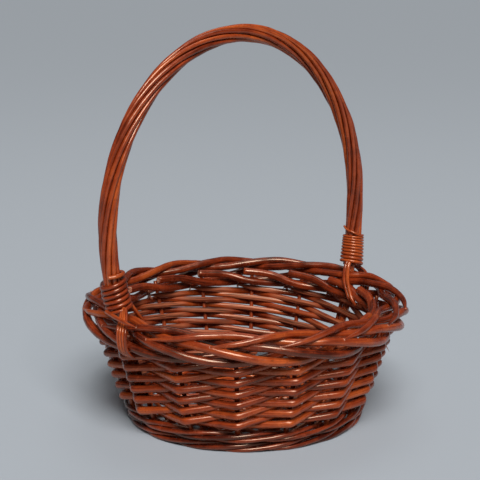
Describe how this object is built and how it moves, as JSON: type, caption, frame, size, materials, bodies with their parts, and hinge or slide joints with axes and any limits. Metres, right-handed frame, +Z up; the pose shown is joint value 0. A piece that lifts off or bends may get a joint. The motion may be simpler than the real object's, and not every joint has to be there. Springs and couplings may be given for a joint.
{
  "type": "woven wicker basket",
  "caption": "Round flared willow basket with open woven sides, a plaited border and one tall fixed roped handle, for carrying or presenting goods.",
  "frame": {"origin": "on the ground under the middle of the base", "axes": "+Z up, X along the span of the handle"},
  "size_m": [0.3158, 0.3092, 0.3686],
  "materials": {
    "wall_willow": "gloss varnish, red-brown",
    "border_willow": "gloss varnish, red-brown",
    "handle_willow": "gloss varnish, orange-brown",
    "base_willow": "varnish, dark red-brown"
  },
  "bodies": {
    "root": {"base_sticks_lower": "base_willow", "base_sticks_upper": "base_willow", "base_weave_fours": "base_willow", "base_weave_inner": "base_willow", "base_weave_outer": "base_willow", "base_weave_pairs": "base_willow", "border_rod_01": "border_willow", "border_rod_02": "border_willow", "border_rod_03": "border_willow", "border_rod_04": "border_willow", "border_rod_05": "border_willow", "border_rod_06": "border_willow", "border_rod_07": "border_willow", "border_rod_08": "border_willow", "border_rod_09": "border_willow", "border_rod_10": "border_willow", "border_rod_11": "border_willow", "border_rod_12": "border_willow", "border_rod_13": "border_willow", "border_rod_14": "border_willow", "border_rod_15": "border_willow", "border_rod_16": "border_willow", "foot_rod_1": "wall_willow", "foot_rod_2": "wall_willow", "foot_rod_3": "wall_willow", "foot_rod_4": "wall_willow", "foot_rod_5": "wall_willow", "foot_rod_6": "wall_willow", "handle_bow": "handle_willow", "handle_rope_rod_1": "handle_willow", "handle_rope_rod_2": "handle_willow", "handle_rope_rod_3": "handle_willow", "handle_rope_rod_4": "handle_willow", "handle_rope_rod_5": "handle_willow", "handle_rope_rod_6": "handle_willow", "handle_rope_rod_7": "handle_willow", "handle_rope_rod_8": "handle_willow", "left_lashing_straps": "handle_willow", "left_lashing_wraps": "handle_willow", "right_lashing_straps": "handle_willow", "right_lashing_wraps": "handle_willow", "side_rod_01": "wall_willow", "side_rod_02": "wall_willow", "side_rod_03": "wall_willow", "side_rod_04": "wall_willow", "side_rod_05": "wall_willow", "side_rod_06": "wall_willow", "side_rod_07": "wall_willow", "side_rod_08": "wall_willow", "side_rod_09": "wall_willow", "side_rod_10": "wall_willow", "side_rod_11": "wall_willow", "side_rod_12": "wall_willow", "side_rod_13": "wall_willow", "side_rod_14": "wall_willow", "side_rod_15": "wall_willow", "side_rod_16": "wall_willow", "side_stakes": "wall_willow"}
  },
  "joints": []
}
